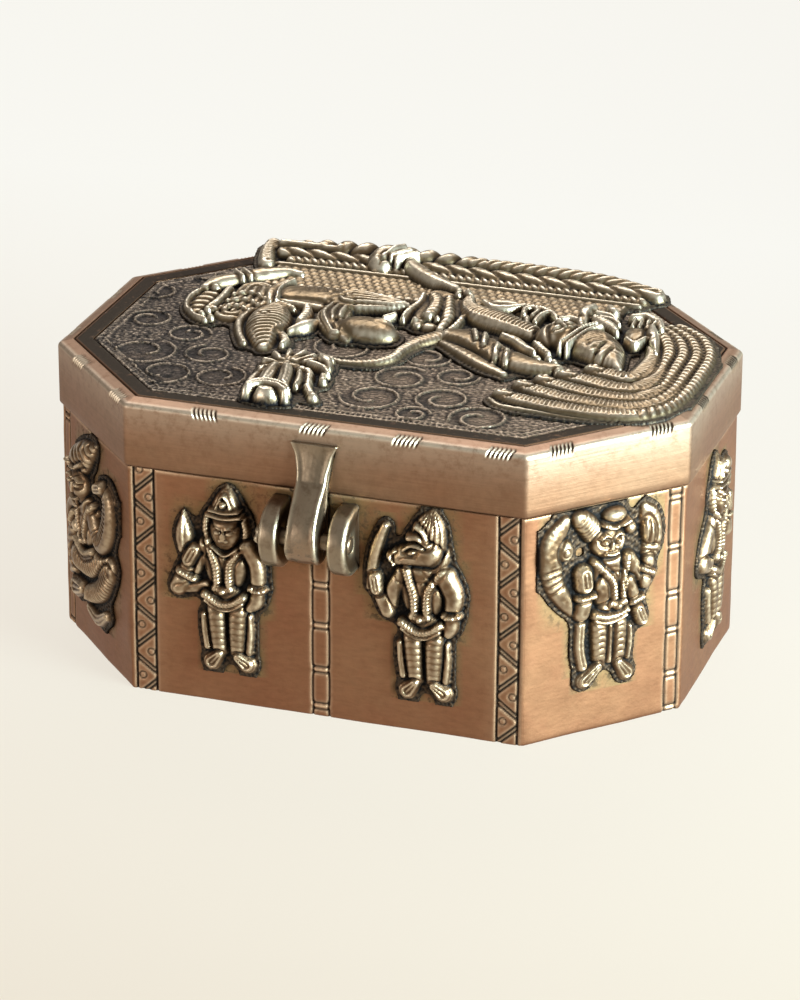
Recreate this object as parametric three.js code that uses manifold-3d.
// An elongated octagonal box of cast brass with a hinged lid, in millimetres.
// The origin is the middle of the base, +X runs along the length and +Z is up.
// The hinge is on the -Y side and the clasp on the +Y side.
import * as THREE from 'three';
import { mergeVertices } from 'three/addons/utils/BufferGeometryUtils.js';
import Module from 'manifold-3d';

const wasm = await Module();
wasm.setup();

// Overall sizes, taken at the lid, which is the widest piece
const lidLength = 170;
const lidWidth = 120.6;
const cornerRunX = 32.3;
const cornerRunY = 34.4;
const boxHeight = 80;
const cornerRadius = 2.2;
const cornerSteps = 2;

// Lid frame: a skirt with a notched bevel, a groove and a flat band round the panel
const skirtHeight = 17.7;
const skirtWall = 2.7;
const frameTopThickness = 3.6;
const bevelWidth = 3.8;
const bevelDrop = 0.9;
const edgeRound = 0.6;
const grooveWidth = 0.7;
const grooveDepth = 0.5;
const borderWidth = 8.6;
const ledgeWidth = 2.4;

// Lid panel, let into the frame and resting on its ledge
const panelThickness = 2.2;

// Walls, base and the inner rim that the lid closes over
const lidGap = 0.3;
const wallInset = 0.8;
const wallThickness = 2.8;
const baseThickness = 2.6;
const rimThickness = 1.6;
const rimDepth = 8;
const rimRise = 6.5;
const rimEdge = 0.5;

// Chased lines on the walls that bound the zigzag strips and the bamboo strips
const lineWidth = 0.7;
const lineDepth = 0.45;
const zigzagWidth = 5.4;
const bambooWidth = 4.6;
const bambooEdge = 1.6;
const bambooShift = -1;

// Clearances
const seatGap = 0.3;
const cutOverrun = 1;

// Hinge and clasp castings: two lugs on the body and a strap on the lid between them
const lugWidth = 4.9;
const lugReach = 12;
const lugHeight = 17.7;
const lugTopDrop = 1.9;
const lugBevel = 0.45;
const footWidth = 2;
const footThickness = 1.3;
const strapNeck = 7.5;
const strapFoot = 8.3;
const strapRoot = 12.5;
const strapGap = 2.4;
const strapRise = 13;
const strapRootThickness = 1.2;
const strapThickness = 3.6;
const strapBendShare = 0.28;
const knuckleRadius = 6;
const pinDrop = 10.2;
const pinStandoff = 6.9;
const pinHoleRadius = 2.5;
const pinRadius = 2.15;
const pinHeadRadius = 2.9;
const pinHeadReach = 1.5;
const pinSides = 16;
const fittingShift = -2;

// Relief castings
const figureFoot = 9.4;
const figureHeadroom = 1.2;
const figureClearance = 0.5;
const figureDepthShare = 0.86;
const leftWidthShare = 0.49;
const rightWidthShare = 0.6;
const reliefHeight = 5;
const limbSides = 6;
const knobSides = 8;
const knobRings = 4;
const endShare = 0.3;
const flatTopShare = 0.92;

// Serpent castings on the lid
const bedHeight = 0.9;
const bedRowHeight = 1.5;
const bedRows = 3;
const coilPitch = 5.6;
const coilRadius = 3;
const coilHeight = 4.7;
const neckCount = 5;
const neckRadius = 2.1;
const neckSteps = 8;
const neckSides = 6;
const snakeHeadRadius = 2.9;
const snakeHeadLength = 3.5;
const rootRadius = 3.4;

// Values worked out from the sizes above
const halfLength = lidLength / 2;
const halfWidth = lidWidth / 2;
const lidBottom = boxHeight - skirtHeight;
const wallHeight = lidBottom - lidGap;
const wallFace = halfWidth - wallInset;
const pinHeight = wallHeight - pinDrop;
const cornerSlant = Math.hypot(cornerRunX, cornerRunY);
const lidHalfMean = (halfLength + halfWidth) / 2;

// A figure is as tall as the wall allows, and as the room between a lug and a zigzag strip allows
const lugEdge = strapFoot / 2 + strapGap + lugWidth + footWidth + lugBevel;
const stripEdge = halfLength - cornerRunX - zigzagWidth;
const leftRoom = stripEdge - lugEdge + fittingShift - 2 * figureClearance;
const rightRoom = stripEdge - lugEdge - fittingShift - 2 * figureClearance;
const figureHeight = Math.min(
  wallHeight - figureFoot - figureHeadroom, leftRoom / leftWidthShare, rightRoom / rightWidthShare,
);

// Brass in the tones that the pieces have
const toneOf = {
  wall: { color: 0xa06c49, roughness: 0.42 },
  skirt: { color: 0xa87450, roughness: 0.36 },
  panel: { color: 0x5c4836, roughness: 0.5 },
  relief: { color: 0x9a7c56, roughness: 0.34 },
  fitting: { color: 0xb08c62, roughness: 0.32 },
  inside: { color: 0x86633c, roughness: 0.55 },
};

function brass(tone) {
  return new THREE.MeshStandardMaterial({ ...toneOf[tone], metalness: 1 });
}

// A closed geometry as a solid: only positions are kept, and seams and poles are merged.
function toSolid(geometry) {
  const bare = geometry.index ? geometry.toNonIndexed() : geometry.clone();
  bare.deleteAttribute('normal');
  bare.deleteAttribute('uv');
  const merged = mergeVertices(bare);
  const corners = Array.from(merged.index.array);
  const triVerts = [];
  for (let i = 0; i < corners.length; i += 3) {
    const [a, b, c] = corners.slice(i, i + 3);
    if (a !== b && b !== c && c !== a) triVerts.push(a, b, c);
  }
  const mesh = new wasm.Mesh({
    numProp: 3,
    vertProperties: new Float32Array(merged.attributes.position.array),
    triVerts: new Uint32Array(triVerts),
  });
  return new wasm.Manifold(mesh);
}

function toGeometry(solid) {
  const mesh = solid.getMesh();
  const geometry = new THREE.BufferGeometry();
  geometry.setAttribute('position', new THREE.BufferAttribute(mesh.vertProperties, 3));
  geometry.setIndex(new THREE.BufferAttribute(mesh.triVerts, 1));
  geometry.computeVertexNormals();
  return geometry;
}

function union(solids) {
  return solids.reduce((whole, solid) => whole.add(solid));
}

function piece(name, solid, tone) {
  const mesh = new THREE.Mesh(toGeometry(solid), brass(tone));
  mesh.name = name;
  return mesh;
}

// The octagon's corners, moved in from the lid's outline by an inset.
function octagonCorners(inset) {
  const halfX = halfLength - inset;
  const halfY = halfWidth - inset;
  const runX = cornerRunX - inset * (1 - (cornerSlant - cornerRunX) / cornerRunY);
  const runY = cornerRunY - inset * (1 - (cornerSlant - cornerRunY) / cornerRunX);
  return [
    [halfX - runX, -halfY], [halfX, runY - halfY],
    [halfX, halfY - runY], [halfX - runX, halfY],
    [runX - halfX, halfY], [-halfX, halfY - runY],
    [-halfX, runY - halfY], [runX - halfX, -halfY],
  ].map(([x, y]) => new THREE.Vector2(x, y));
}

// The octagon with rounded corners: each corner becomes a short arc between its two tangent points.
function octagonOutline(inset, radius = cornerRadius) {
  const corners = octagonCorners(inset);
  const points = [];
  corners.forEach((corner, i) => {
    const before = corners[(i + 7) % 8].clone().sub(corner).normalize();
    const after = corners[(i + 1) % 8].clone().sub(corner).normalize();
    const halfAngle = Math.acos(before.dot(after)) / 2;
    const reach = radius / Math.tan(halfAngle);
    const inward = before.clone().add(after).normalize();
    const centre = corner.clone().addScaledVector(inward, radius / Math.sin(halfAngle));
    const start = corner.clone().addScaledVector(before, reach).sub(centre);
    const turn = Math.PI - 2 * halfAngle;
    for (let step = 0; step <= cornerSteps; step += 1) {
      const spoke = start.clone().rotateAround(new THREE.Vector2(), turn * step / cornerSteps);
      points.push(centre.clone().add(spoke));
    }
  });
  return points;
}

// A closed profile of [inset, height] pairs carried round the octagon.
function octagonSweep(profile) {
  const rings = profile.map(([inset, height]) =>
    octagonOutline(inset, Math.max(cornerRadius - inset, cornerRadius / 4))
      .map((point) => [point.x, point.y, height]));
  const count = rings[0].length;
  const index = [];
  rings.forEach((ring, i) => {
    const next = (i + 1) % rings.length;
    for (let j = 0; j < count; j += 1) {
      const k = (j + 1) % count;
      const [a, b, c, d] = [i * count + j, i * count + k, next * count + k, next * count + j];
      index.push(a, b, c, a, c, d);
    }
  });
  const geometry = new THREE.BufferGeometry();
  geometry.setAttribute('position', new THREE.Float32BufferAttribute(rings.flat(2), 3));
  geometry.setIndex(index);
  return toSolid(geometry);
}

function slab(points, bottom, height) {
  const geometry = new THREE.ExtrudeGeometry(new THREE.Shape(points), { depth: height, bevelEnabled: false });
  geometry.translate(0, 0, bottom);
  return toSolid(geometry);
}

// Walls: the octagon as an extruded outline whose chased lines are notches in the outline

// Distances along a side, from its middle, at which a chased line is cut
function lineSets() {
  const longHalf = octagonCorners(wallInset)[0].x;
  const cornerHalf = cornerSlant / 2 - wallInset;
  const strip = [longHalf - zigzagWidth, longHalf - lineWidth - cornerRadius / 2];
  const bamboo = [bambooWidth / 2, -bambooWidth / 2];
  const edge = cornerHalf - bambooEdge;
  return {
    long: [-strip[1], -strip[0], bamboo[1] + bambooShift, bamboo[0] + bambooShift, strip[0], strip[1]],
    corner: [edge - bambooWidth, edge],
    end: [],
  };
}

function notch(start, end, place) {
  const along = end.clone().sub(start).normalize();
  const inward = new THREE.Vector2(-along.y, along.x);
  const middle = start.clone().add(end).multiplyScalar(0.5).addScaledVector(along, place);
  return [
    middle.clone().addScaledVector(along, -lineWidth / 2),
    middle.clone().addScaledVector(inward, lineDepth),
    middle.clone().addScaledVector(along, lineWidth / 2),
  ];
}

function wallOutline() {
  const corners = octagonCorners(wallInset);
  const rounded = octagonOutline(wallInset);
  const perCorner = cornerSteps + 1;
  const sets = lineSets();
  const places = ['corner', 'end', 'corner', 'long', 'corner', 'end', 'corner', 'long'];
  return corners.flatMap((corner, i) => {
    const next = corners[(i + 1) % 8];
    // The bamboo strips of the slanted sides all stand by the end sides
    const mirrored = i === 2 || i === 6;
    const lines = mirrored ? sets[places[i]].map((place) => -place).reverse() : sets[places[i]];
    const arc = rounded.slice(i * perCorner, (i + 1) * perCorner);
    return [...arc, ...lines.flatMap((place) => notch(corner, next, place))];
  });
}

function bodyWalls() {
  const outer = slab(wallOutline(), 0, wallHeight);
  const hollow = octagonOutline(wallInset + wallThickness, cornerRadius / 2);
  return outer.subtract(slab(hollow, -cutOverrun, wallHeight + 2 * cutOverrun));
}

function basePlate() {
  return slab(octagonOutline(wallInset + wallThickness + seatGap, cornerRadius / 2), 0, baseThickness);
}

// The rim stands inside the walls and rises into the lid, with its top edges eased.
function innerRim() {
  const outer = wallInset + wallThickness + seatGap;
  const inner = outer + rimThickness;
  const low = wallHeight - rimDepth;
  const top = wallHeight + rimRise;
  return octagonSweep([
    [outer, low], [outer, top - rimEdge], [outer + rimEdge, top],
    [inner - rimEdge, top], [inner, top - rimEdge], [inner, low],
  ]);
}

// The frame's profile runs up the outside, across the top and down the inside.
function lidFrame() {
  const top = boxHeight;
  const shoulder = top - bevelDrop;
  const ledge = top - panelThickness - seatGap;
  const under = top - frameTopThickness;
  return octagonSweep([
    [edgeRound, lidBottom], [0, lidBottom + edgeRound],
    [0, shoulder - edgeRound], [edgeRound, shoulder],
    [bevelWidth, top], [bevelWidth + grooveWidth / 2, top - grooveDepth],
    [bevelWidth + grooveWidth, top], [borderWidth, top],
    [borderWidth, ledge], [borderWidth + ledgeWidth, ledge],
    [borderWidth + ledgeWidth, under], [skirtWall + edgeRound, under],
    [skirtWall, under - edgeRound], [skirtWall, lidBottom],
  ]);
}

function lidPanel() {
  const outline = octagonOutline(borderWidth + seatGap, cornerRadius / 4);
  return slab(outline, boxHeight - panelThickness, panelThickness);
}

// Hinge and clasp

// A side view, out from the wall and up, given a width along X about its middle.
function sideProfile(shape, width, bevel = 0) {
  const geometry = new THREE.ExtrudeGeometry(shape, {
    depth: width - 2 * bevel,
    bevelEnabled: bevel > 0,
    bevelThickness: bevel,
    bevelSize: bevel,
    bevelOffset: -bevel,
    bevelSegments: 1,
    curveSegments: 6,
  });
  const outward = new THREE.Vector3(0, -1, 0);
  const upward = new THREE.Vector3(0, 0, 1);
  const sideways = new THREE.Vector3(-1, 0, 0);
  geometry.applyMatrix4(new THREE.Matrix4().makeBasis(outward, upward, sideways));
  geometry.translate(width / 2 - bevel, 0, 0);
  return toSolid(geometry);
}

function pinRod(radius, length, sides = pinSides) {
  const geometry = new THREE.CylinderGeometry(radius, radius, length, sides);
  geometry.rotateZ(Math.PI / 2);
  geometry.translate(0, -pinStandoff, pinHeight);
  return toSolid(geometry);
}

// A lug is a D in side view, standing on the wall, with a thin foot beside it.
function lug(side) {
  const radius = lugHeight / 2;
  const middle = wallHeight - lugTopDrop - radius;
  const shape = new THREE.Shape();
  shape.moveTo(0, middle - radius);
  shape.lineTo(lugReach - radius, middle - radius);
  shape.absarc(lugReach - radius, middle, radius, -Math.PI / 2, Math.PI / 2, false);
  shape.lineTo(0, middle + radius);
  const block = sideProfile(shape, lugWidth, lugBevel);
  const backing = new THREE.BoxGeometry(lugWidth, lugBevel * 2, lugHeight - 2 * lugBevel);
  backing.translate(0, -lugBevel, middle);
  const foot = new THREE.BoxGeometry(footWidth + lugBevel * 2, footThickness, lugHeight - lugBevel * 2);
  foot.translate(side * (lugWidth + footWidth) / 2, -footThickness / 2, middle);
  const hole = pinRod(pinHoleRadius, lugWidth + 2 * cutOverrun);
  const whole = union([block, toSolid(backing), toSolid(foot)]);
  const behind = new THREE.BoxGeometry(lugHeight, lugHeight, lugHeight * 2);
  behind.translate(0, lugHeight / 2, middle);
  return whole.subtract(hole).subtract(toSolid(behind));
}

// Side view of the strap: a knuckle round the pin that sweeps up and thins against the skirt.
function strapSide() {
  const skirt = wallInset;
  const root = lidBottom + strapRise;
  const bend = lidBottom + strapRise * strapBendShare;
  const out = pinStandoff + knuckleRadius;
  const shoulder = pinHeight + knuckleRadius;
  const shape = new THREE.Shape();
  shape.moveTo(skirt, root);
  shape.lineTo(skirt, lidBottom + edgeRound);
  shape.quadraticCurveTo(skirt + strapThickness, shoulder, pinStandoff - knuckleRadius, pinHeight);
  shape.absarc(pinStandoff, pinHeight, knuckleRadius, Math.PI, 2 * Math.PI, false);
  shape.bezierCurveTo(out, shoulder, skirt + 2 * strapThickness, lidBottom, skirt + strapThickness, bend);
  shape.quadraticCurveTo(skirt + strapRootThickness, root - strapRise / 4, skirt + strapRootThickness, root);
  return shape;
}

// Front view of the strap: wide at its root, a neck, and a little wider again at its foot.
function strapFront() {
  const root = lidBottom + strapRise;
  const neck = lidBottom;
  const low = pinHeight - knuckleRadius - cutOverrun;
  const shape = new THREE.Shape();
  shape.moveTo(-strapFoot / 2, low);
  shape.lineTo(strapFoot / 2, low);
  shape.lineTo(strapFoot / 2, pinHeight);
  shape.quadraticCurveTo(strapNeck / 2, pinHeight + knuckleRadius, strapNeck / 2, neck);
  shape.quadraticCurveTo(strapNeck / 2, root - strapRise / 3, strapRoot / 2, root);
  shape.lineTo(-strapRoot / 2, root);
  shape.quadraticCurveTo(-strapNeck / 2, root - strapRise / 3, -strapNeck / 2, neck);
  shape.quadraticCurveTo(-strapNeck / 2, pinHeight + knuckleRadius, -strapFoot / 2, pinHeight);
  return shape;
}

function strap() {
  const reach = 2 * lugReach;
  const side = sideProfile(strapSide(), strapRoot + 2 * cutOverrun);
  const front = new THREE.ExtrudeGeometry(strapFront(), {
    depth: reach, bevelEnabled: false, curveSegments: 6,
  });
  front.rotateX(Math.PI / 2);
  front.translate(0, reach / 4, 0);
  const hole = pinRod(pinHoleRadius, strapRoot + 4 * cutOverrun);
  return side.intersect(toSolid(front)).subtract(hole);
}

// The pin fills the lugs, with one spread head outside them and the other end flush.
function hingePin() {
  const span = strapFoot + 2 * (strapGap + lugWidth);
  const head = new THREE.CylinderGeometry(pinHeadRadius, pinRadius, pinHeadReach, pinSides);
  head.rotateZ(Math.PI / 2);
  head.translate(-(span + pinHeadReach) / 2 - seatGap, -pinStandoff, pinHeight);
  const rod = pinRod(pinRadius, span + 2 * seatGap);
  return rod.add(toSolid(head));
}

// One fitting stands on the middle of a long side; the clasp is the same casting without its pin.
function fitting(kind, turn) {
  const group = new THREE.Group();
  const lugPlace = (strapFoot + lugWidth) / 2 + strapGap;
  const left = piece(`${kind}_lug_left`, lug(-1), 'fitting');
  left.position.x = -lugPlace;
  const right = piece(`${kind}_lug_right`, lug(1), 'fitting');
  right.position.x = lugPlace;
  group.add(left, right, piece(`${kind}_strap`, strap(), 'fitting'));
  if (kind === 'hinge') group.add(piece('hinge_pin', hingePin(), 'fitting'));
  group.rotation.z = turn;
  const towards = new THREE.Vector3(fittingShift, -wallFace, 0);
  group.position.copy(towards.applyAxisAngle(new THREE.Vector3(0, 0, 1), turn));
  return group;
}

// Relief forms: tapered limbs with round ends and oval knobs, joined and cut flat at the back

// A tapered rod from one point to another, lying in the XY plane at a lift above it. Its depth
// share makes it flatter or deeper than it is wide.
function limb([x1, y1, x2, y2, startRadius, endRadius = startRadius, lift = 0], depthShare = 1) {
  const from = new THREE.Vector3(x1, y1, lift);
  const to = new THREE.Vector3(x2, y2, lift);
  const length = from.distanceTo(to);
  const profile = [
    [0, -startRadius], [startRadius, -startRadius * endShare],
    [endRadius, length + endRadius * endShare], [0, length + endRadius],
  ].map(([x, y]) => new THREE.Vector2(x, y));
  const geometry = new THREE.LatheGeometry(profile, limbSides);
  geometry.scale(depthShare, 1, 1);
  const along = to.clone().sub(from).normalize();
  const upward = new THREE.Vector3(0, 0, 1);
  const sideways = upward.clone().cross(along);
  geometry.applyMatrix4(new THREE.Matrix4().makeBasis(upward, along, sideways));
  geometry.translate(from.x, from.y, from.z);
  return toSolid(geometry);
}

// An oval knob with its own half-width and half-height.
function knob([x, y, halfX, halfY = halfX, depth = (halfX + halfY) / 2, lift = 0]) {
  const geometry = new THREE.SphereGeometry(1, knobSides, knobRings);
  geometry.rotateX(Math.PI / 2);
  geometry.scale(halfX, halfY, depth);
  geometry.translate(x, y, lift);
  return toSolid(geometry);
}

// Everything below the plane z = 0 is cut away, which leaves the flat back.
function cutBack(solid, reach) {
  const block = new THREE.BoxGeometry(2 * reach, 2 * reach, reach);
  block.translate(0, 0, -reach / 2);
  return solid.subtract(toSolid(block));
}

// Wall figures, drawn as shares of a figure's height: sideways from its middle and up from its soles.
// A limb share is [x1, y1, x2, y2, start radius, end radius, lift], and a knob share is
// [x, y, half-width, half-height, depth, lift].
const trunkShares = {
  limbs: [
    [-0.02, 0.60, 0.01, 0.50, 0.105, 0.085], [-0.10, 0.60, 0.11, 0.60, 0.048, 0.048],
    [0, 0.47, 0, 0.41, 0.078, 0.088], [-0.07, 0.37, 0.075, 0.37, 0.048, 0.048, 0.02],
    [0, 0.67, 0, 0.62, 0.05, 0.05],
  ],
  knobs: [],
};

const legShares = {
  limbs: [
    [-0.058, 0.33, -0.056, 0.09, 0.050, 0.038, 0.01], [0.052, 0.33, 0.062, 0.09, 0.050, 0.038, 0.01],
    [-0.056, 0.075, -0.10, 0.03, 0.034, 0.030], [0.062, 0.075, 0.108, 0.033, 0.034, 0.030],
    [-0.100, 0.30, -0.092, 0.10, 0.030, 0.030], [0.104, 0.30, 0.108, 0.11, 0.032, 0.030],
  ],
  knobs: [],
};

const crownedHeadShares = {
  limbs: [[0.006, 0.83, 0.016, 0.985, 0.082, 0.012]],
  knobs: [
    [0.006, 0.745, 0.083, 0.103, 0.092], [-0.088, 0.755, 0.034], [0.10, 0.755, 0.034],
  ],
};

const bladeArmShares = {
  limbs: [
    [-0.115, 0.59, -0.25, 0.44, 0.042, 0.050], [-0.25, 0.44, -0.19, 0.56, 0.046, 0.038],
    [-0.24, 0.44, -0.13, 0.47, 0.045, 0.040], [-0.205, 0.58, -0.225, 0.65, 0.050, 0.056],
    [-0.225, 0.65, -0.21, 0.82, 0.056, 0.008], [0.125, 0.59, 0.160, 0.41, 0.042, 0.034],
    [0.160, 0.41, 0.125, 0.33, 0.034, 0.038],
  ],
  knobs: [],
};

const snoutedHeadShares = {
  limbs: [
    [-0.01, 0.745, -0.165, 0.70, 0.064, 0.034, 0.02], [-0.004, 0.84, 0.031, 0.985, 0.085, 0.010],
    [0.055, 0.76, 0.05, 0.64, 0.062, 0.062],
  ],
  knobs: [[0.0, 0.765, 0.088, 0.085, 0.095], [-0.053, 0.85, 0.045], [0.066, 0.85, 0.038]],
};

const clubArmShares = {
  limbs: [
    [-0.137, 0.575, -0.19, 0.433, 0.042, 0.036], [-0.19, 0.433, -0.245, 0.56, 0.036, 0.032],
    [-0.245, 0.56, -0.215, 0.84, 0.028, 0.040], [0.135, 0.60, 0.15, 0.447, 0.046, 0.040],
    [0.15, 0.447, 0.125, 0.375, 0.038, 0.040],
  ],
  knobs: [],
};

const tiltedCapHeadShares = {
  limbs: [[-0.04, 0.83, -0.19, 0.93, 0.070, 0.052, 0.01], [0.02, 0.84, 0.055, 0.94, 0.06, 0.042]],
  knobs: [[0.014, 0.775, 0.092, 0.09, 0.095], [0.095, 0.84, 0.045]],
};

const wingAndBudArmShares = {
  limbs: [
    [-0.255, 0.925, -0.31, 0.80, 0.055, 0.066], [-0.31, 0.80, -0.28, 0.615, 0.066, 0.055],
    [-0.28, 0.615, -0.15, 0.47, 0.055, 0.048], [-0.135, 0.62, -0.13, 0.50, 0.058, 0.056, 0.02],
    [0.13, 0.60, 0.20, 0.46, 0.042, 0.042], [0.20, 0.46, 0.26, 0.66, 0.042, 0.042],
    [0.26, 0.66, 0.244, 0.88, 0.046, 0.062], [0.16, 0.45, 0.205, 0.36, 0.044, 0.044],
    [-0.12, 0.38, -0.13, 0.10, 0.032, 0.030],
  ],
  knobs: [[-0.215, 0.81, 0.05, 0.05, 0.035]],
};

const crouchingShares = {
  limbs: [
    [0.117, 0.778, 0.261, 0.786, 0.031, 0.043], [-0.132, 0.607, 0.058, 0.607, 0.047, 0.047],
    [-0.257, 0.467, -0.272, 0.331, 0.049, 0.054], [-0.272, 0.331, -0.253, 0.175, 0.054, 0.051],
    [-0.195, 0.284, 0, 0.319, 0.066, 0.074], [0, 0.319, 0.156, 0.377, 0.074, 0.072],
    [0.156, 0.377, 0.253, 0.401, 0.072, 0.053], [0.241, 0.358, 0.136, 0.233, 0.053, 0.058],
    [0.136, 0.233, 0, 0.156, 0.058, 0.053], [0, 0.156, -0.117, 0.113, 0.053, 0.043],
    [-0.125, 0.128, -0.226, 0.105, 0.043, 0.058], [-0.058, 0.062, 0.156, 0.117, 0.035, 0.035],
    [0.027, 0.611, 0.125, 0.498, 0.049, 0.058], [0.125, 0.498, 0.191, 0.525, 0.058, 0.062],
    [0.191, 0.525, 0.245, 0.634, 0.062, 0.064], [0.245, 0.634, 0.237, 0.747, 0.064, 0.054],
    [0.237, 0.747, 0.136, 0.794, 0.051, 0.037], [-0.175, 0.615, -0.257, 0.525, 0.049, 0.049],
    [-0.257, 0.525, -0.183, 0.459, 0.049, 0.041], [-0.148, 0.817, -0.051, 0.895, 0.086, 0.066],
    [-0.051, 0.895, 0.07, 0.977, 0.066, 0.016],
  ],
  knobs: [
    [-0.039, 0.518, 0.109, 0.144, 0.076], [-0.043, 0.358, 0.097, 0.089, 0.072],
    [-0.144, 0.708, 0.105, 0.097, 0.097],
  ],
};

const raisedMaceArmShares = {
  limbs: [
    [-0.115, 0.59, -0.225, 0.49, 0.050, 0.056], [-0.225, 0.49, -0.09, 0.43, 0.052, 0.044],
    [0.125, 0.59, 0.225, 0.50, 0.044, 0.040], [0.225, 0.50, 0.185, 0.67, 0.038, 0.036],
    [0.185, 0.67, 0.195, 0.86, 0.026, 0.046],
  ],
  knobs: [],
};

const shellAndDiscArmShares = {
  limbs: [
    [-0.115, 0.59, -0.215, 0.50, 0.044, 0.040], [-0.215, 0.50, -0.20, 0.68, 0.038, 0.034],
    [0.125, 0.59, 0.215, 0.50, 0.044, 0.040], [0.215, 0.50, 0.205, 0.68, 0.038, 0.034],
  ],
  knobs: [[-0.20, 0.75, 0.060, 0.074, 0.05], [0.205, 0.76, 0.078, 0.078, 0.035]],
};

const bowArmShares = {
  limbs: [
    [-0.115, 0.59, -0.245, 0.52, 0.042, 0.036], [-0.20, 0.80, -0.265, 0.66, 0.022, 0.026],
    [-0.265, 0.66, -0.275, 0.44, 0.026, 0.026], [-0.275, 0.44, -0.21, 0.26, 0.026, 0.022],
    [0.125, 0.59, 0.155, 0.47, 0.042, 0.036], [0.155, 0.47, 0.065, 0.50, 0.036, 0.034, 0.03],
  ],
  knobs: [[0.145, 0.68, 0.035, 0.07, 0.04]],
};

const axeArmShares = {
  limbs: [
    [-0.115, 0.59, -0.17, 0.42, 0.042, 0.036], [-0.17, 0.42, -0.125, 0.34, 0.036, 0.038],
    [0.125, 0.59, 0.215, 0.49, 0.042, 0.038], [0.215, 0.49, 0.215, 0.58, 0.038, 0.036],
    [0.215, 0.40, 0.215, 0.88, 0.024, 0.024],
  ],
  knobs: [[0.262, 0.81, 0.062, 0.085, 0.032]],
};

const fishTailShares = {
  limbs: [
    [0, 0.36, 0.02, 0.24, 0.115, 0.095], [0.02, 0.24, -0.02, 0.13, 0.095, 0.055],
    [-0.02, 0.11, -0.115, 0.04, 0.040, 0.026], [-0.02, 0.11, 0.10, 0.045, 0.040, 0.026],
  ],
  knobs: [[-0.10, 0.27, 0.05, 0.035, 0.03], [0.12, 0.25, 0.05, 0.035, 0.03]],
};

const shellBaseShares = {
  limbs: [
    [-0.14, 0.12, -0.20, 0.045, 0.045, 0.034], [0.14, 0.12, 0.20, 0.045, 0.045, 0.034],
    [0, 0.12, 0, 0.045, 0.05, 0.036],
  ],
  knobs: [[0, 0.22, 0.185, 0.165, 0.115], [-0.21, 0.21, 0.05, 0.042, 0.04]],
};

function joined(...sets) {
  return {
    limbs: sets.flatMap((set) => set.limbs),
    knobs: sets.flatMap((set) => set.knobs),
  };
}

// The figures in order round the box: side of the octagon, place along it, and the forms joined.
const figures = [
  ['figure_blade', 'front', 'left', joined(trunkShares, legShares, crownedHeadShares, bladeArmShares)],
  ['figure_snouted', 'front', 'right', joined(trunkShares, legShares, snoutedHeadShares, clubArmShares)],
  ['figure_winged', 'front right', 'middle',
    joined(trunkShares, legShares, tiltedCapHeadShares, wingAndBudArmShares)],
  ['figure_mace', 'right', 'middle', joined(trunkShares, legShares, crownedHeadShares, raisedMaceArmShares)],
  ['figure_fish', 'back right', 'middle',
    joined(trunkShares, fishTailShares, crownedHeadShares, shellAndDiscArmShares)],
  ['figure_bow', 'back', 'left', joined(trunkShares, legShares, crownedHeadShares, bowArmShares)],
  ['figure_axe', 'back', 'right', joined(trunkShares, legShares, crownedHeadShares, axeArmShares)],
  ['figure_tortoise', 'back left', 'middle',
    joined(trunkShares, shellBaseShares, crownedHeadShares, shellAndDiscArmShares)],
  ['figure_disc', 'left', 'middle', joined(trunkShares, legShares, crownedHeadShares, shellAndDiscArmShares)],
  ['figure_crouching', 'front left', 'middle', crouchingShares],
];
const sideNames = ['front right', 'right', 'back right', 'back', 'back left', 'left', 'front left', 'front'];

// How far a figure beside the fitting reaches towards it, as a share of its height
const reachShares = { left: 0.19, right: 0.268 };

// Distance of a figure from the middle of its side, seen from outside.
function figurePlace(place) {
  if (place === 'middle') return 0;
  const reach = lugEdge + figureClearance + reachShares[place] * figureHeight;
  return place === 'left' ? fittingShift - reach : fittingShift + reach;
}

function figureSolid(shares) {
  const scaled = (share) => share.map((value) => value * figureHeight);
  const forms = [...shares.limbs.map((share) => limb(scaled(share))),
    ...shares.knobs.map((share) => knob(scaled(share)))];
  return cutBack(union(forms), 2 * figureHeight);
}

// A figure stands upright on its wall: its drawing plane is turned up, and its back faces the wall.
function wallFigure([name, sideName, place, shares]) {
  const corners = octagonCorners(wallInset);
  const side = sideNames.indexOf(sideName);
  const start = corners[side];
  const end = corners[(side + 1) % 8];
  const along = end.clone().sub(start).normalize();
  const middle = start.clone().add(end).multiplyScalar(1 / 2).addScaledVector(along, figurePlace(place));
  const outward = new THREE.Vector2(along.y, -along.x);
  middle.addScaledVector(outward, seatGap);
  const mesh = piece(name, figureSolid(shares), 'relief');
  mesh.geometry.scale(1, 1, figureDepthShare);
  mesh.geometry.rotateX(Math.PI / 2);
  mesh.rotation.z = Math.atan2(along.y, along.x);
  mesh.position.set(middle.x, middle.y, figureFoot);
  return mesh;
}

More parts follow.
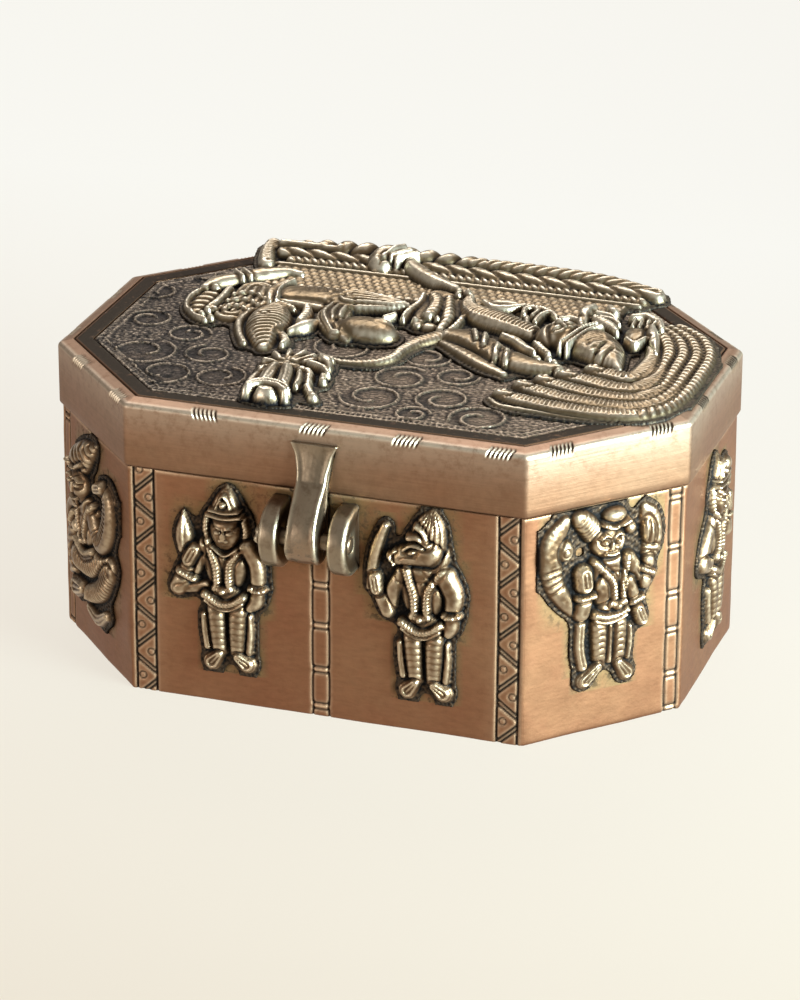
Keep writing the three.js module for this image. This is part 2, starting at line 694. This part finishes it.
// Lid relief, drawn as shares: places of the lid's half-length and half-width, half-widths of the
// mean of both, and heights of the relief's height. A limb share is [x1, y1, x2, y2, start
// half-width, end half-width, height], and a knob share is [x, y, half-width, half-depth, height].
const recliningShares = {
  limbs: [
    [-0.482, 0.34, -0.376, 0.357, 0.069, 0.08, 0.72], [-0.376, 0.357, -0.235, 0.357, 0.08, 0.077, 0.82],
    [-0.473, 0.456, -0.499, 0.34, 0.021, 0.025, 0.68],
    [-0.499, 0.34, -0.475, 0.207, 0.025, 0.019, 0.66],
    [-0.219, 0.345, -0.012, 0.318, 0.077, 0.028, 0.84],
    [-0.261, 0.249, -0.252, 0.116, 0.045, 0.045, 0.68],
    [-0.252, 0.116, -0.205, -0.05, 0.045, 0.033, 0.68], [0.035, 0.506, 0.056, 0.166, 0.11, 0.105, 0.56],
    [-0.012, 0.522, 0.031, 0.365, 0.023, 0.03, 0.76], [0.031, 0.365, 0.016, 0.166, 0.032, 0.022, 0.78],
    [0.125, 0.1, 0.212, 0.056, 0.039, 0.058, 0.74], [0.212, 0.056, 0.282, -0.01, 0.058, 0.055, 0.8],
    [0.282, -0.01, 0.336, -0.09, 0.055, 0.052, 0.76], [0.336, -0.09, 0.412, -0.126, 0.054, 0.051, 0.72],
    [0.412, -0.126, 0.524, -0.143, 0.051, 0.03, 0.64],
    [0.398, 0.156, 0.478, -0.023, 0.019, 0.019, 0.58],
    [0.478, -0.023, 0.522, -0.133, 0.019, 0.022, 0.6], [0.101, 0.547, 0.12, 0.448, 0.023, 0.033, 0.64],
    [0.12, 0.448, 0.172, 0.355, 0.033, 0.051, 0.8], [0.172, 0.355, 0.259, 0.289, 0.051, 0.058, 0.92],
    [0.259, 0.289, 0.353, 0.239, 0.058, 0.048, 0.88], [0.353, 0.239, 0.424, 0.192, 0.047, 0.03, 0.72],
    [0.141, 0.504, 0.221, 0.454, 0.021, 0.019, 0.6], [0.221, 0.454, 0.313, 0.521, 0.019, 0.019, 0.6],
    [0.313, 0.521, 0.447, 0.332, 0.021, 0.019, 0.6], [-0.216, 0.836, -0.122, 0.756, 0.039, 0.034, 1],
    [-0.122, 0.756, -0.047, 0.67, 0.034, 0.033, 0.92], [-0.047, 0.67, 0.047, 0.59, 0.033, 0.028, 0.8],
    [0.04, 0.597, 0.104, 0.531, 0.025, 0.025, 0.78], [-0.242, 0.796, -0.207, 0.929, 0.021, 0.019, 1.55],
    [0.529, 0.209, 0.584, 0.146, 0.105, 0.095, 1], [0.584, 0.146, 0.635, 0.063, 0.095, 0.063, 0.96],
    [0.635, 0.063, 0.699, -0.043, 0.063, 0.012, 0.68], [0.499, 0.05, 0.572, 0.338, 0.021, 0.022, 1.18],
    [0.522, 0.444, 0.565, 0.398, 0.022, 0.028, 0.84], [0.565, 0.398, 0.635, 0.302, 0.028, 0.022, 0.84],
    [0.494, 0.401, 0.499, 0.557, 0.026, 0.023, 0.88], [0.659, 0.438, 0.718, 0.438, 0.036, 0.033, 0.76],
    [0.715, 0.415, 0.736, 0.308, 0.022, 0.025, 0.8], [0.736, 0.308, 0.765, 0.206, 0.025, 0.015, 0.72],
  ],
  knobs: [
    [0.466, 0.219, 0.089, 0.094, 1.06], [-0.113, 0.023, 0.12, 0.077, 1],
    [0.04, 0.219, 0.03, 0.029, 0.92], [0.059, 0.584, 0.03, 0.026, 0.8],
    [-0.254, 0.836, 0.059, 0.085, 1.24], [0.685, 0.342, 0.055, 0.087, 0.7],
  ],
};

const attendantShares = {
  limbs: [
    [-0.56, 0.332, -0.56, 0.083, 0.074, 0.072, 0.46],
    [-0.661, 0.265, -0.652, 0.033, 0.055, 0.047, 0.48],
    [-0.527, 0.59, -0.576, 0.527, 0.028, 0.037, 0.72],
    [-0.576, 0.527, -0.628, 0.451, 0.037, 0.034, 0.74],
    [-0.628, 0.451, -0.689, 0.368, 0.033, 0.033, 0.7],
    [-0.689, 0.368, -0.708, 0.289, 0.033, 0.025, 0.64],
    [-0.513, 0.123, -0.511, -0.04, 0.018, 0.018, 0.42],
    [-0.511, -0.04, -0.442, -0.255, 0.018, 0.017, 0.42],
    [-0.541, 0.182, -0.435, 0.149, 0.033, 0.033, 0.46],
    [-0.44, 0.159, -0.426, 0.017, 0.044, 0.072, 0.84],
    [-0.426, 0.017, -0.402, -0.143, 0.072, 0.059, 0.86],
    [-0.402, -0.143, -0.369, -0.282, 0.059, 0.025, 0.72],
    [-0.353, 0.199, -0.332, 0.033, 0.021, 0.021, 0.6],
    [-0.358, -0.106, -0.289, 0.033, 0.023, 0.025, 0.72],
    [-0.353, -0.133, -0.32, -0.245, 0.021, 0.015, 0.48],
  ],
  knobs: [],
};

const stemShares = {
  limbs: [
    [0.111, 0.073, 0.061, -0.017, 0.037, 0.029, 0.54],
    [0.061, -0.017, 0.038, -0.123, 0.029, 0.022, 0.48],
    [0.038, -0.123, 0.031, -0.216, 0.022, 0.022, 0.46],
    [0.031, -0.216, -0.012, -0.289, 0.022, 0.022, 0.44],
    [-0.012, -0.289, -0.113, -0.318, 0.021, 0.014, 0.36],
    [-0.113, -0.318, -0.171, -0.289, 0.014, 0.012, 0.3],
  ],
  knobs: [],
};

const seatedShares = {
  limbs: [
    [-0.247, -0.458, -0.313, -0.358, 0.022, 0.022, 0.52],
    [-0.247, -0.458, -0.275, -0.312, 0.022, 0.022, 0.52],
    [-0.247, -0.458, -0.231, -0.302, 0.022, 0.022, 0.52],
    [-0.247, -0.458, -0.193, -0.328, 0.022, 0.022, 0.5],
    [-0.247, -0.458, -0.322, -0.507, 0.019, 0.017, 0.44],
    [-0.2, -0.415, -0.141, -0.355, 0.019, 0.019, 0.52],
    [-0.188, -0.438, -0.104, -0.524, 0.019, 0.015, 0.64],
    [-0.2, -0.501, -0.148, -0.597, 0.022, 0.021, 0.6],
    [-0.148, -0.597, -0.132, -0.663, 0.021, 0.019, 0.58],
    [-0.132, -0.663, -0.092, -0.763, 0.019, 0.018, 0.54],
    [-0.268, -0.527, -0.259, -0.72, 0.026, 0.026, 0.76],
    [-0.226, -0.527, -0.195, -0.73, 0.028, 0.028, 0.78],
    [-0.186, -0.547, -0.162, -0.697, 0.022, 0.017, 0.64],
  ],
  knobs: [
    [-0.242, -0.491, 0.085, 0.047, 0.58], [-0.221, -0.806, 0.077, 0.058, 0.94],
  ],
};

// The same forms grown by a clearance give the room that a neighbouring casting leaves for them.
function lidForms(shares, grown = 0) {
  const place = (value, i) => value * (i % 2 === 0 ? halfLength : halfWidth);
  const wide = (value) => value * lidHalfMean + grown;
  const high = (value) => value * reliefHeight + grown;
  const forms = [
    ...shares.limbs.map(([x1, y1, x2, y2, start, end, top]) => {
      const depthShare = high(top) / wide(Math.max(start, end)) / flatTopShare;
      return limb([...[x1, y1, x2, y2].map(place), wide(start), wide(end)], depthShare);
    }),
    ...shares.knobs.map(([x, y, halfX, halfY, top]) =>
      knob([...[x, y].map(place), wide(halfX), wide(halfY), high(top)])),
  ];
  return union(forms);
}

function lidCasting(solid) {
  return cutBack(solid, 2 * lidLength);
}

// Each neck of the hood follows a line between an inner and an outer one, and ends in a small head.
const innerNeckShares = [
  [0.64, 0.56], [0.76, 0.42], [0.815, 0.16], [0.80, -0.03], [0.73, -0.12], [0.63, -0.10],
];
const outerNeckShares = [
  [0.70, 0.60], [0.87, 0.44], [0.94, 0.16], [0.93, -0.20], [0.72, -0.55], [0.42, -0.52],
];

const rootShares = [0.66, 0.58, 0.76, 0.48];

function neckLine(share) {
  const points = innerNeckShares.map(([x, y], i) => {
    const [outerX, outerY] = outerNeckShares[i];
    const placeX = THREE.MathUtils.lerp(x, outerX, share) * halfLength;
    const placeY = THREE.MathUtils.lerp(y, outerY, share) * halfWidth;
    return new THREE.Vector3(placeX, placeY, 0);
  });
  return new THREE.CatmullRomCurve3(points);
}

function neckTube(line) {
  const ring = new THREE.Shape();
  for (let i = 0; i < neckSides; i += 1) {
    const angle = 2 * Math.PI * i / neckSides;
    const [x, y] = [neckRadius * Math.cos(angle), neckRadius * Math.sin(angle)];
    if (i === 0) ring.moveTo(x, y);
    else ring.lineTo(x, y);
  }
  return toSolid(new THREE.ExtrudeGeometry(ring, {
    extrudePath: line, steps: neckSteps, bevelEnabled: false,
  }));
}

function serpentHood() {
  const forms = [];
  for (let i = 0; i < neckCount; i += 1) {
    const line = neckLine(i / (neckCount - 1));
    const end = line.getPoint(1);
    forms.push(neckTube(line), knob([end.x, end.y, snakeHeadLength, snakeHeadRadius]));
  }
  const [x1, y1, x2, y2] = rootShares;
  forms.push(limb([x1 * halfLength, y1 * halfWidth, x2 * halfLength, y2 * halfWidth, rootRadius]));
  return union(forms);
}

// The coiled body lies along the back edge: a row of slanted lobes and lower bands beside it, all
// on a bed of scales that the reclining figure rests on.
const bedShares = { left: -0.588, right: 0.588, low: 0.448, high: 0.955, rowsTop: 0.76 };
const lobeShares = { left: -0.60, right: 0.63, low: 0.90, high: 0.935, lean: 0.35, taper: 0.87 };
const bandShares = {
  limbs: [
    [-0.55, 0.78, 0.61, 0.775, 0.0275, 0.0275, 0.5],
    [-0.60, 0.85, 0.64, 0.84, 0.036, 0.034, 0.7], [-0.655, 0.93, -0.635, 0.78, 0.030, 0.032, 0.6],
    [-0.635, 0.78, -0.61, 0.70, 0.032, 0.026, 0.6],
  ],
  knobs: [],
};

// The flat bed under the scales, grown by a clearance where it stands for the room that it needs.
function scaleBed(grown = 0) {
  const [left, right] = [bedShares.left * halfLength - grown, bedShares.right * halfLength + grown];
  const [low, high] = [bedShares.low * halfWidth - grown, bedShares.high * halfWidth + grown];
  const top = bedHeight + grown;
  const geometry = new THREE.BoxGeometry(right - left, high - low, 2 * top);
  geometry.translate((left + right) / 2, (low + high) / 2, 0);
  return toSolid(geometry);
}

function scaleRows() {
  const low = bedShares.low * halfWidth;
  const radius = (bedShares.rowsTop * halfWidth - low) / bedRows / 2;
  const depthShare = bedRowHeight / radius / flatTopShare;
  const [left, right] = [bedShares.left * halfLength + radius, bedShares.right * halfLength - radius];
  return Array.from({ length: bedRows }, (_, i) => {
    const y = low + radius * (2 * i + 1);
    return limb([left, y, right, y, radius, radius], depthShare);
  });
}

function slantedLobes() {
  const [start, end] = [lobeShares.left * halfLength, lobeShares.right * halfLength];
  const lobes = Math.round((end - start) / coilPitch);
  const lean = coilPitch * lobeShares.lean;
  return Array.from({ length: lobes + 1 }, (_, i) => {
    const x = start + (end - start) * i / lobes;
    const [low, high] = [lobeShares.low * halfWidth, lobeShares.high * halfWidth];
    const line = [x - lean, low, x + lean, high, coilRadius, coilRadius * lobeShares.taper];
    return limb(line, coilHeight / coilRadius / flatTopShare);
  });
}

function lidRelief() {
  const bedRoom = scaleBed(seatGap);
  const figure = lidForms(recliningShares).subtract(bedRoom);
  const figureRoom = lidForms(recliningShares, seatGap);
  const attendant = lidForms(attendantShares).subtract(union([figureRoom, bedRoom]));
  const attendantRoom = lidForms(attendantShares, seatGap);
  const seated = lidForms(seatedShares);
  const seatedRoom = lidForms(seatedShares, seatGap);
  const stem = lidForms(stemShares).subtract(union([figureRoom, seatedRoom]));
  const bands = union([...scaleRows(), ...slantedLobes(), lidForms(bandShares)]);
  const coil = bands.subtract(union([figureRoom, attendantRoom])).add(scaleBed());
  const group = new THREE.Group();
  group.add(
    piece('reclining_figure', lidCasting(figure), 'relief'),
    piece('attendant_figure', lidCasting(attendant), 'relief'),
    piece('lotus_seated_figure', lidCasting(seated), 'relief'),
    piece('lotus_stem', lidCasting(stem), 'relief'),
    piece('serpent_hood', lidCasting(serpentHood().subtract(figureRoom)), 'relief'),
    piece('serpent_coil', lidCasting(coil), 'relief'),
  );
  group.position.z = boxHeight;
  return group;
}

const box = new THREE.Group();
box.add(
  piece('body_walls', bodyWalls(), 'wall'),
  piece('base_plate', basePlate(), 'inside'),
  piece('inner_rim', innerRim(), 'inside'),
  piece('lid_frame', lidFrame(), 'skirt'),
  piece('lid_panel', lidPanel(), 'panel'),
  fitting('hinge', 0),
  fitting('clasp', Math.PI),
  lidRelief(),
  ...figures.map(wallFigure),
);

export default box;
